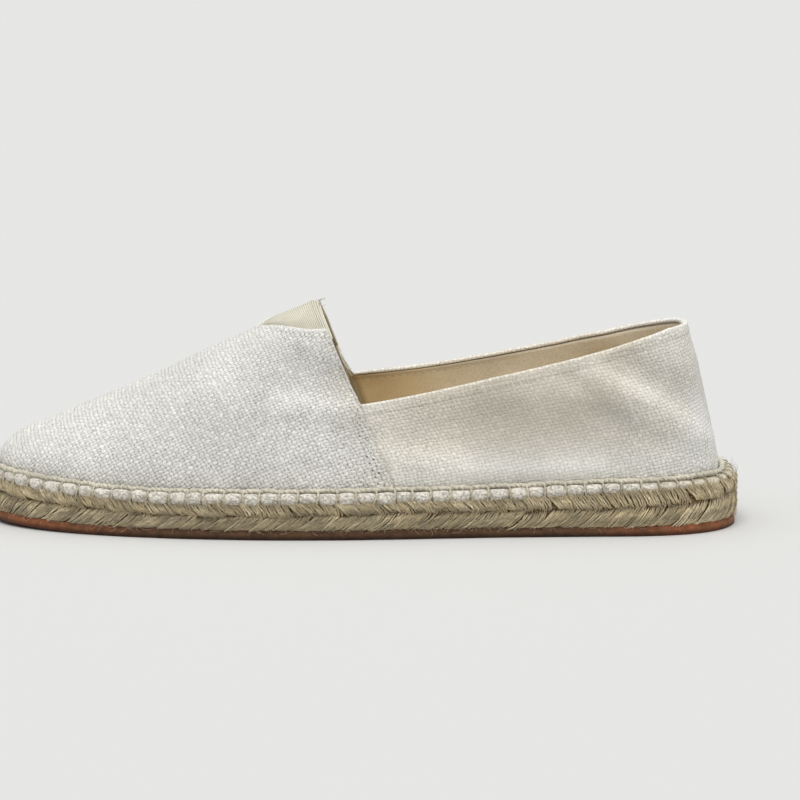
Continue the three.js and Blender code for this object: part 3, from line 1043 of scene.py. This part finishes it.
def turned_edge(name, grid, keep, profile, least=1.0, apex=None):
    """Canvas turned in over part of a grid's top edge; apex is the column where it is smallest."""
    points = grid["points"][keep]
    edge, out, up = points[:, -1], grid["normals"][keep][:, -1], unit(points[:, -1] - points[:, -3])
    run = steps(edge, 0)
    if apex is not None:
        size = least + 0.5 * smoothstep(6.0, 26.0, np.abs(run - run[apex]))[:, None]
        out, up = out * size, up * size
    rings, faces = sweep(edge, out, up, profile)
    around = steps(np.array(FOLD), 0)
    weave = np.stack(np.broadcast_arrays(run[:, None], around[None]), -1)
    far = np.full(rings.shape, FAR)
    new_object(name, rings, faces, CANVAS_FOLD, {"weave": weave, "edges": far})


def lining():
    """Twill inside the rear of the upper, down to the insole."""
    points = quarter_grid(WALL - 0.75, 1.0, 80, np.linspace(0, 0.985, 44))
    from_foot = steps(points, 1)
    run = steps(points, 0)
    height = relief(points, 0.0) + slimmer(heel_distance(run), from_foot) - 0.15
    weave = np.stack([run, from_foot, from_foot[:, -1:] - from_foot + 0.6], -1)
    shaped = points + normals(points) * height[..., None]
    made = new_object("lining", shaped, grid_faces(*run.shape), TWILL, {"weave": weave})
    thicken(made, 0.6)


def seam_tapes():
    """A narrow tape over each side seam, inside."""
    v = np.linspace(0.08, 0.97, 40)
    for side in AWAY:
        turn = seam_turn(side, v)[None, :] + np.linspace(0.7, 5.2, 9)[:, None] / HALF / np.pi
        if side == "medial":
            turn = turn[::-1]
        points = form_point(side, turn, v[None, :] * rise_limit(side, turn), WALL + 0.25)
        n = normals(points)
        n = n * np.sign((n[..., 1] * AWAY[side]).mean())
        height = crease_height(side, points) + 0.3 * wobble(points, 46.0, SEED) - 0.15
        weave = np.stack([steps(points, 0), steps(points, 1), np.full(turn.shape, FAR)], -1)
        made = new_object("seam_tape_" + side, points + n * height[..., None],
                          grid_faces(*turn.shape), TAPE, {"weave": weave})
        thicken(made, 0.4)


vamp_made = vamp()
quarter_made = quarter()
APEX_COLUMN = vamp_made["apex"]
turned_edge("collar_fold", quarter_made, quarter_made["ahead"][:, -1] > OVERLAP - 0.4, FOLD)
turned_edge("throat_fold_lateral", vamp_made, np.s_[:APEX_COLUMN + 1], FOLD, 0.35, apex=-1)
turned_edge("throat_fold_medial", vamp_made, np.s_[-APEX_COLUMN - 1:], DEEP_FOLD, 0.75, apex=0)
lining()
seam_tapes()


# ---- Gusset ----

def notch_rises(side):
    """Rise at which the notch's edge crosses each arch, by plan shape alone."""
    turns = np.linspace(0.5, APEX_TURN, 300)
    rises = np.linspace(0, 1, 2001)
    p = form_point(side, turns[:, None], rises[None, :])
    half = np.interp(p[..., 0], NOTCH_LINE[:, 0], NOTCH_LINE[:, 1], right=0.0)
    inside = np.abs(p[..., 1] - MID_Y - RIDGE_Y) < half
    first = np.where(inside.any(1), inside.argmax(1), len(rises) - 1)
    return turns, rises[first]


NOTCH_RISES = {side: notch_rises(side) for side in AWAY}
GUSSET_REACH = 1.14  # the elastic runs on past the notch's edge, beneath the canvas


def gusset_point(turn, w):
    """A point of the form above the notch; w is 0 at the middle and 1 or -1 at the notch's edges."""
    result = np.zeros(np.broadcast(turn, w).shape + (3,))
    for side, sign in AWAY.items():
        rise = 1 - np.minimum(np.abs(w) * (1 - np.interp(turn, *NOTCH_RISES[side])), 0.9)
        here = np.sign(w + 1e-12) == sign
        result = np.where(here[..., None], form_point(side, turn, rise), result)
    return result


def throat_turns(across):
    """The turn at which the throat's edge cuts each row of the elastic."""
    low, high = np.full(len(across), 0.5), np.full(len(across), APEX_TURN)
    for _ in range(30):
        middle = (low + high) / 2
        p = gusset_point(middle, across)
        behind = p[..., 0] - THROAT_SKEW * (p[..., 1] - MID_Y) < throat_x(p[..., 2]) + 0.25
        low, high = np.where(behind, middle, low), np.where(behind, high, middle)
    return high


def gusset():
    """Ribbed elastic in the notch: columns from the throat to the apex, rows across."""
    columns, rows = 200, 49
    across = np.linspace(-GUSSET_REACH, GUSSET_REACH, rows)
    rear = throat_turns(across)[None, :]
    share = (np.linspace(0, 1, columns) ** 0.9)[:, None]
    turn = rear + (APEX_TURN - 0.0006 - rear) * share
    w = np.broadcast_to(across, turn.shape)
    points = gusset_point(turn, w)
    n = unit(np.cross(np.gradient(points, axis=0), np.gradient(points, axis=1)))
    n *= np.sign(n[..., 2:3])
    run = steps(points, 0)
    ribs = np.abs(np.sin(run * np.pi / RIB)) ** 0.6
    thick = 1 - smoothstep(2.4, 3.2, run)
    inside = 1 - smoothstep(0.78, 1.02, np.abs(w))
    rear_rise = 0.5 * (1 - smoothstep(6.0, 22.0, run)) * inside
    rear_fall = 1.1 * (1 - smoothstep(0.0, 3.0, run)) ** 2
    bulge = -0.95 + 0.6 * inside * (1 - smoothstep(0.75, 1.0, share)) + rear_rise - rear_fall
    bulge = bulge + 0.8 * np.exp(-((points[..., 0] - 33.0) / 6.0) ** 2) * inside
    height = bulge + 0.2 * ribs + 0.16 * thick * ribs + 0.18 * wobble(points, 16.0, SEED + 3)
    under_canvas = np.where(w >= 0, crease_height("lateral", points), crease_height("medial", points))
    height = height + (under_canvas - 0.25) * smoothstep(0.75, 1.0, np.abs(w))
    shaped = points + n * height[..., None]
    weave = np.stack([run, steps(points, 1), w], -1)
    faces = grid_faces(columns, rows)
    made = new_object("elastic_gusset", shaped, faces, ELASTIC, {"weave": weave})
    thicken(made, 1.0, 0.25)
    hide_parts("gusset")
    rim_points, faces, _ = tubes([shaped[0] - 0.4 * n[0]], 0.48, 8)
    weave = np.tile([RIB / 2, 0.0, 0.0], (len(rim_points), 1))
    new_object("gusset_edge", rim_points, faces, ELASTIC, {"weave": weave})
    gusset_frays(shaped[0])


def gusset_frays(edge):
    """Loose ends of the elastic's threads along the top of the throat."""
    random = np.random.default_rng(SEED + 5)
    t = np.linspace(0, 1, 7)
    paths, radii = [], []
    for _ in range(12):
        root = edge[int(np.clip(random.normal(0.5, 0.16), 0.1, 0.9) * (len(edge) - 1))]
        length = random.uniform(0.8, 2.8)
        heading = np.array([random.uniform(-0.9, 0.1), random.uniform(-0.6, 0.6), random.uniform(0.5, 1.0)])
        bend = np.array([random.uniform(-0.8, 0.8), random.uniform(-0.5, 0.5), -0.4])
        paths.append(root + length * (heading * t[:, None] + bend * t[:, None] ** 2 * 0.6))
        radii.append(random.uniform(0.05, 0.11) * (1 - 0.6 * t))
    chances = random.uniform(0, 1, len(paths))
    yarns("gusset_frays", paths, np.array(radii), 4, THREAD, chances)


gusset()


# ---- The sole's rim as one closed curve ----

class Rim:
    """The outline from the toe along the lateral side to the heel and back along the medial side."""

    def __init__(self):
        down, back = np.linspace(1, 0, 900), np.linspace(0, 1, 900)[1:-1]
        edge, inner = (
            np.concatenate([inset_point("lateral", down, inset), inset_point("medial", back, inset)])
            for inset in (0.0, 1.0)
        )
        self.out = edge - inner
        self.edge = edge + [0, MID_Y]
        self.s = steps(np.concatenate([self.edge, self.edge[:1]]), 0)
        self.length = self.s[-1]

    def at(self, s, values):
        values = np.concatenate([values, values[:1]])
        s = np.mod(s, self.length)
        return np.stack([np.interp(s, self.s, values[:, k]) for k in range(values.shape[1])], -1)

    def point(self, s, inset, z):
        """Points at a distance along the rim, an inset and a height."""
        flat = self.at(s, self.edge) - unit(self.at(s, self.out)) * np.asarray(inset, float)[..., None]
        return np.concatenate([flat, np.broadcast_to(z, flat.shape[:-1])[..., None]], -1)

    def x(self, s):
        return self.at(s, self.edge)[..., 0]


rim = Rim()
STITCHES = int(round(rim.length / STITCH_PITCH))


def stitch_places():
    """Where each blanket stitch crosses the hem, unevenly spaced as sewn by hand."""
    random = np.random.default_rng(SEED + 10)
    pitch = rim.length / STITCHES
    return np.arange(STITCHES) * pitch + random.uniform(-0.7, 0.7, STITCHES)


STITCH_S = stitch_places()
CORD_INSET = 1.5  # the cord lies this far outside the seat
CORD_PITCH = 3.8  # length of a ply's turn
CORD_STEP = 0.55
CORD_TWIST = 0.34  # radius of the plies' spiral
# The hem's rolled profile: inset, height under the feather line and fullness of each point.
ROLL = [(2.9, -0.15, 0.5), (1.9, -0.45, 0.85), (0.8, -0.15, 1.0), (0.0, 0.7, 1.0), (-0.3, 1.8, 1.0),
        (-0.15, 2.9, 1.0), (0.45, 3.8, 1.0), (1.3, 4.2, 0.7), (2.4, 4.1, 0.2)]
ROLL_MIDDLE = (2.3, 1.9)  # inset and height under the feather line


def heel_wear(x):
    """0 along the shoe, 1 at the heel's end, where the hem lies flatter."""
    return 1 - smoothstep(-128.0, -52.0, x)


def hem_puffs():
    """Canvas rolled over the jute's top corner, pinched at each stitch."""
    per_puff = 20  # rings of points
    random = np.random.default_rng(SEED + 11)
    ends = np.append(STITCH_S, STITCH_S[0] + rim.length)
    share = np.arange(per_puff) / per_puff
    s = (ends[:-1, None] + np.diff(ends)[:, None] * share).ravel()
    full = np.tile((1 - np.abs(2 * share - 1) ** 2.5) ** 0.65, STITCHES)
    size = np.repeat(random.uniform(0.78, 1.1, STITCHES), per_puff)
    lean = np.repeat(random.uniform(-0.35, 0.35, STITCHES), per_puff)
    x = rim.x(s)
    seat, top = section("seat", x), feather(x)
    size = size * (1 - 0.45 * heel_wear(x))
    middle_inset, middle_down = ROLL_MIDDLE
    ledge = [(seat - 0.2, 0.35, 0.0), (seat - 1.2, 0.15, 0.1), (seat - 2.4, 0.05, 0.25)]
    rings, fulls = [], []
    for inset, down, fullness in ledge + ROLL:
        inset = np.broadcast_to(inset, s.shape)
        pinch = (1 - fullness * 0.62 * (1 - full)) * (1 + fullness * (size - 1))
        rolled = middle_inset + (inset - middle_inset) * np.where(inset < 3.0, pinch, 1.0)
        dropped = middle_down + (down - middle_down) * pinch + fullness * lean * full
        rings.append(rim.point(s, rolled, top - dropped))
        fulls.append(full * min(1.0, fullness * 1.2))
    rings.append(rim.point(s, seat - 0.2, top - HEM_HEIGHT + heel_wear(x)))
    fulls.append(full * 0)
    points = np.stack(rings, 1)
    points += 0.16 * wobble(points, 4.2, SEED + 12)[..., None] * np.array([0.6, 0.6, 1.0])
    around = steps(points, 1)
    weave = np.stack([np.broadcast_to(s[:, None], around.shape), around, np.stack(fulls, 1)], -1)
    faces = ring_faces(*around.shape, closed=True)
    made = new_object("hem_puffs", points, faces, HEM_CLOTH, {"weave": weave})
    smooth = made.modifiers.new("smooth", "SUBSURF")
    smooth.levels = smooth.render_levels = 1
    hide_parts("hem")


def hem_cord():
    """A two-ply cord along the upper's base, drawn down a little at each stitch."""
    count = int(rim.length / CORD_STEP)
    s = np.arange(count + 1) * rim.length / count
    x = rim.x(s)
    random = np.random.default_rng(SEED + 13)
    wave = np.interp(s, STITCH_S, random.uniform(-0.35, 0.35, STITCHES), period=rim.length)
    rise = np.interp(s, STITCH_S + 2.0, random.uniform(-0.2, 0.35, STITCHES), period=rim.length)
    half = rim.length / 2
    nearest = np.min(np.abs((s[:, None] - STITCH_S[None, :] + half) % rim.length - half), 1)
    dip = -0.4 * np.exp(-nearest ** 2)
    turns = round(rim.length / CORD_PITCH)
    paths = []
    for ply in (0, np.pi):
        phase = s / rim.length * turns * 2 * np.pi + ply
        inset = section("seat", x) - CORD_INSET + CORD_TWIST * np.cos(phase) + wave
        z = feather(x) + 0.6 + dip + rise + CORD_TWIST * np.sin(phase)
        paths.append(rim.point(s, inset, z))
    thick = 0.78 * (1 + 0.12 * np.sin(s / 3.1) * np.sin(s / 7.7))
    yarns("hem_cord", paths, thick, 8, CORD, [0.4, 0.4])


def hem_stitches():
    """The blanket stitch's legs: from the cord over the hem and down into the jute."""
    random = np.random.default_rng(SEED + 14)
    paths, radii, chances = [], [], []
    t = np.linspace(0, 1, 14)
    along = [0, 0.25, 0.45, 0.6, 0.8, 1]
    for s0 in STITCH_S:
        x = float(rim.x(s0))
        seat, top = float(section("seat", x)), float(feather(x))
        flat = 1 - 0.42 * float(heel_wear(x))
        reach = random.uniform(4.6, 5.8) * flat
        for fork in range(2 if random.random() < 0.3 else 1):
            slant = random.uniform(-0.8, 0.8) + fork * random.choice([-1.2, 1.2])
            inset = np.interp(t, along, [seat - CORD_INSET, 3.0, 1.6, 0.95, 0.6, 0.9])
            down = np.interp(t, along, [-0.6, -0.15, 0.5 * flat, 1.6 * flat, 3.5 * flat, reach])
            inset = inset + 0.1 * np.sin(t * 9 + s0)
            s = s0 + slant * smoothstep(0.45, 1.0, t)
            paths.append(rim.point(s, inset, top - down))
            radii.append(random.uniform(0.36, 0.48) * flat * (1 - 0.45 * smoothstep(0.7, 1, t)))
            chances.append(random.uniform(0, 1))
    yarns("hem_stitches", paths, np.array(radii), 8, THREAD, chances)


hem_puffs()
hem_cord()
hem_stitches()


# ---- Jute ----

GROUP_PITCH = 8.6
YARNS = 10
CREASE_SHARE = 0.53  # height of the braid's crease
# How far a yarn runs along the rim, how deep its outer end lies, its group's start and its thickness.
BRAID_ROWS = {
    "upper": {"run": 4.6, "depth": 1.0, "start": 0.0, "size": 1.0},
    "lower": {"run": 7.2, "depth": 0.45, "start": 0.5, "size": 0.88},
}
CORE_INSETS = (3.0, 1.4, 1.5, 1.4, 3.4)  # from the bottom up


def jute_bottom(x):
    """Height of the braid's lower edge."""
    return spring(x) + OUTSOLE["thickness"] - 0.3


def jute_top(x):
    """Height of the braid's upper edge."""
    return feather(x) - HEM_HEIGHT + 0.7 + 1.5 * heel_wear(x)


def jute_braid():
    """Two rows of slanting yarn groups that meet at a crease and point along the rim."""
    random = np.random.default_rng(SEED + 20)
    groups = int(round(rim.length / GROUP_PITCH))
    pitch = rim.length / groups
    t = np.linspace(0, 1, 10)
    swell = np.sin(np.pi * t) ** 0.7
    paths, radii, chances = [], [], []
    for name, row in BRAID_ROWS.items():
        depth = row["depth"]
        for group in range(groups):
            s0 = (group + row["start"]) * pitch + random.uniform(-0.6, 0.6)
            run = row["run"] + random.uniform(-0.8, 0.8)
            spread = pitch / YARNS * random.uniform(1.02, 1.12)
            tone = random.uniform(0, 0.5)
            crease_drift = random.uniform(-0.55, 0.55)
            lift = random.uniform(-0.08, 0.08)
            bow = random.uniform(-0.5, 0.9)
            edge_drift = random.uniform(-0.3, 0.3)
            for yarn in range(YARNS):
                place = (yarn - (YARNS - 1) / 2) / (YARNS / 2)
                fan = place * YARNS / 2 * spread * (1 - 0.1 * depth + 0.1 * depth * swell)
                shake = smoothed(random.normal(0, 0.5, (len(t), 1)))[:, 0] * 0.5
                s = s0 + fan + run * t ** 0.9 + shake + bow * swell
                x = rim.x(s)
                low, high = jute_bottom(x), jute_top(x)
                drift = crease_drift + 0.45 * np.sin(s / 23.0) + 0.5 * heel_wear(x)
                crease = low + (high - low) * CREASE_SHARE + drift
                outer = high if name == "upper" else low + edge_drift + random.uniform(-0.2, 0.2)
                past = 0.9 * np.sign(outer - crease) * -smoothstep(0.75, 1.0, t) * max(-0.3, place)
                z = outer + (crease - outer) * t + past + random.normal(0, 0.12)
                inset = 0.35 + 0.4 * place + 1.5 * depth * (1 - t) ** 3 + 1.3 * t ** 6 - 0.55 * swell
                inset = inset + lift + random.uniform(-0.12, 0.12)
                paths.append(rim.point(s, inset, z))
                radii.append(random.uniform(0.34, 0.42) * row["size"] * (0.88 + 0.12 * swell))
                chances.append(np.clip(tone + random.uniform(0, 0.5), 0, 1))
    made = yarns("jute_braid", paths, np.array(radii), 5, JUTE, chances)
    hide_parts("midsole")


def core_heights(x):
    """Heights of the levels of the sole's filling, from the bottom up."""
    low, high = jute_bottom(x), jute_top(x)
    return [spring(x) + OUTSOLE["thickness"] + 0.1, low + 1.6, low + 6.0, high - 2.0, feather(x) - 0.9]


def jute_core():
    """A closed solid inside the braid: for each level a line on the lateral and one on the medial side."""
    turns = np.linspace(0, 1, 140)
    levels = list(range(len(CORE_INSETS)))
    rings = []
    for side, order in (("lateral", levels), ("medial", levels[::-1])):
        for level in order:
            p = inset_point(side, turns, CORE_INSETS[level])
            rings.append(np.concatenate([p + [0, MID_Y], core_heights(p[:, :1])[level]], 1))
    weld(new_object("jute_core", np.stack(rings, 1), ring_faces(len(turns), len(rings)), CORE))


def jute_fuzz():
    """Loose fibres that stand off the braid."""
    random = np.random.default_rng(SEED + 21)
    count = 6000  # fibres
    t = np.linspace(0, 1, 5)
    s0 = random.uniform(0, rim.length, count)
    length = random.uniform(1.5, 5.5, count)[:, None]
    heading = random.uniform(0, 2 * np.pi, count)[:, None]
    lift = random.uniform(0.15, 0.9, count)[:, None]
    low, high = jute_bottom(rim.x(s0)), jute_top(rim.x(s0))
    z0 = (low + (high - low) * random.uniform(0.0, 1.0, count))[:, None]
    angle = heading + random.uniform(-0.8, 0.8, count)[:, None] * t
    s = s0[:, None] + length * t * np.cos(angle)
    z = np.maximum(z0 + length * t * np.sin(angle) * 0.6, 0.8)
    paths = rim.point(s, 0.1 - lift * np.sin(np.pi * t * 0.8), z)
    radii = random.uniform(0.03, 0.07, count)[:, None]
    yarns("jute_fuzz", paths, radii, 3, FUZZ, random.uniform(0, 1, count))


jute_braid()
jute_core()
jute_fuzz()


# ---- Rubber and insole ----

TREAD_PITCH = 4.2
TREAD_DEPTH = 0.55
OUTSOLE_SWELL = 0.8  # how far the rubber's edge swells past the CAD's
SOCK_GAP = 0.6  # between the sock's edge and the wall
SOCK = 2.4  # the sock's thickness


def sheet(turns, across, inset):
    """A flat grid inside the outline, columns along it and rows across, with half its width."""
    lateral, medial = (inset_point(side, turns, inset) for side in AWAY)
    middle, half = (lateral + medial) / 2, (lateral - medial) / 2
    return middle[:, None] + half[:, None] * across[None, :, None] + [0, MID_Y], half


def layer(flat, bottom, top):
    """Rings of points round a closed layer between two heights over a flat grid."""
    under, over = (np.concatenate([flat, z[..., None]], -1) for z in (bottom, top))
    return np.concatenate([under, over[:, ::-1]], 1)


def outsole():
    """A thin rubber sheet, cut a little unevenly, with a shallow tread of fine crossed grooves."""
    turns, across = np.linspace(0, 1, 260), np.linspace(-1, 1, 61)
    flat, half = sheet(turns, across, OUTSOLE["inset"])
    wide, _ = sheet(turns, across, OUTSOLE["inset"] - OUTSOLE_SWELL)
    x, y = flat[..., 0], flat[..., 1]
    edge = 1 - smoothstep(0.0, 2.0, (1 - np.abs(across)) * np.abs(half[:, 1:2]))
    uneven = 0.25 * wobble(np.stack([x, y, 0 * x], -1), 14.0, SEED + 30)
    groove = np.minimum(*(np.abs(np.sin(line * np.pi / TREAD_PITCH)) for line in (x + y, x - y)))
    tread = TREAD_DEPTH * (1 - smoothstep(0.12, 0.38, groove)) * (1 - edge)
    bottom = spring(x) + tread + 0.12 * edge ** 4
    top = spring(x) + OUTSOLE["thickness"] - 0.15 + 0.35 * uneven * edge
    flat = flat + (wide - flat) * (edge * (1.0 + 0.375 * uneven))[..., None]
    points = layer(flat, bottom, top)
    height = points[..., 2] - spring(points[..., 0])
    faces = ring_faces(*height.shape)
    made = new_object("rubber_outsole", points, faces, RUBBER, {"height": height})
    weld(made)
    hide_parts("outsole")


def insole():
    """A cloth-faced sock, slightly dished under heel and ball."""
    turns, across = np.linspace(0, 1, 150), np.linspace(-1, 1, 41)
    flat, _ = sheet(turns, across, section("seat", station_x(turns)) + WALL + SOCK_GAP)
    x, edge = flat[..., 0], np.abs(across)
    dish = 0.5 * np.exp(-((x + 95) / 30) ** 2) + 0.4 * np.exp(-((x - 60) / 35) ** 2)
    bottom = feather(x) + GAP
    top = bottom + SOCK - dish * (1 - edge ** 2) - 0.5 * smoothstep(0.93, 1.0, edge)
    points = layer(flat, bottom, top)
    weave = points.copy()
    weave[..., 2] = FAR
    faces = ring_faces(*points.shape[:2])
    made = new_object("insole_sock", points, faces, TWILL, {"weave": weave})
    weld(made)
    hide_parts("insole")


outsole()
insole()


# ---- Floor, light and camera ----

REACH = 12.0  # metres from the shoe to the floor's edge
FLOOR_GREY = (0.703, 0.703, 0.690, 1)
CAMERA = {"distance": 1.5, "elevation": 9.5, "target": (-0.0142, 0.0023, 0.0447), "seen_across": 0.8 / 2.67}


def add(name, data):
    """A new object in the scene."""
    made = bpy.data.objects.new(name, data)
    bpy.context.scene.collection.objects.link(made)
    return made


def face(obj, direction):
    """Turns a lamp or a camera so that its back points this way."""
    obj.rotation_mode = "QUATERNION"
    obj.rotation_quaternion = direction.to_track_quat("Z", "Y")


def floor():
    """A wide plain floor of paper."""
    mesh = bpy.data.meshes.new("floor")
    corners = [(-REACH, -REACH, 0), (REACH, -REACH, 0), (REACH, REACH, 0), (-REACH, REACH, 0)]
    mesh.from_pydata(corners, [], [(0, 1, 2, 3)])
    mesh.materials.append(Shader("floor_paper", roughness=0.95, specular=0.05).finish(FLOOR_GREY))
    add("floor", mesh)


def sun(name, azimuth, elevation, strength, softness):
    """A lamp in a direction given in degrees; softness is its width in degrees."""
    light = bpy.data.lights.new(name, "SUN")
    light.energy = strength
    light.angle = math.radians(softness)
    a, e = math.radians(azimuth), math.radians(elevation)
    face(add(name, light), Vector((math.cos(a) * math.cos(e), math.sin(a) * math.cos(e), math.sin(e))))


def world(low, high):
    """Even white light, stronger from overhead than from the walls."""
    made = bpy.data.worlds.new("studio")
    made.use_nodes = True
    nodes, links = made.node_tree.nodes, made.node_tree.links
    background = next(n for n in nodes if n.type == "BACKGROUND")
    background.inputs[0].default_value = (1, 1, 1, 1)
    direction = nodes.new("ShaderNodeSeparateXYZ")
    links.new(nodes.new("ShaderNodeTexCoord").outputs["Generated"], direction.inputs[0])
    strength = nodes.new("ShaderNodeMapRange")
    for socket, value in enumerate((0.0, 0.9, low, high), 1):
        strength.inputs[socket].default_value = value
    links.new(direction.outputs[2], strength.inputs[0])
    links.new(strength.outputs[0], background.inputs[1])
    bpy.context.scene.world = made


def camera():
    """The photograph's view, from the outer side and a little above. CAMERA's lengths are metres."""
    elevation = math.radians(CAMERA["elevation"])
    data = bpy.data.cameras.new("camera")
    data.sensor_width = 36
    data.lens = data.sensor_width * CAMERA["distance"] / CAMERA["seen_across"]
    data.clip_start, data.clip_end = 0.05, 60
    made = add("camera", data)
    back = Vector((0, math.cos(elevation), math.sin(elevation)))
    made.location = Vector(CAMERA["target"]) + back * CAMERA["distance"]
    face(made, back)
    bpy.context.scene.camera = made


floor()
world(0.31, 0.8)
sun("key", 94, 76, 1.52, 42)
camera()
bpy.context.scene.view_settings.view_transform = "Standard"
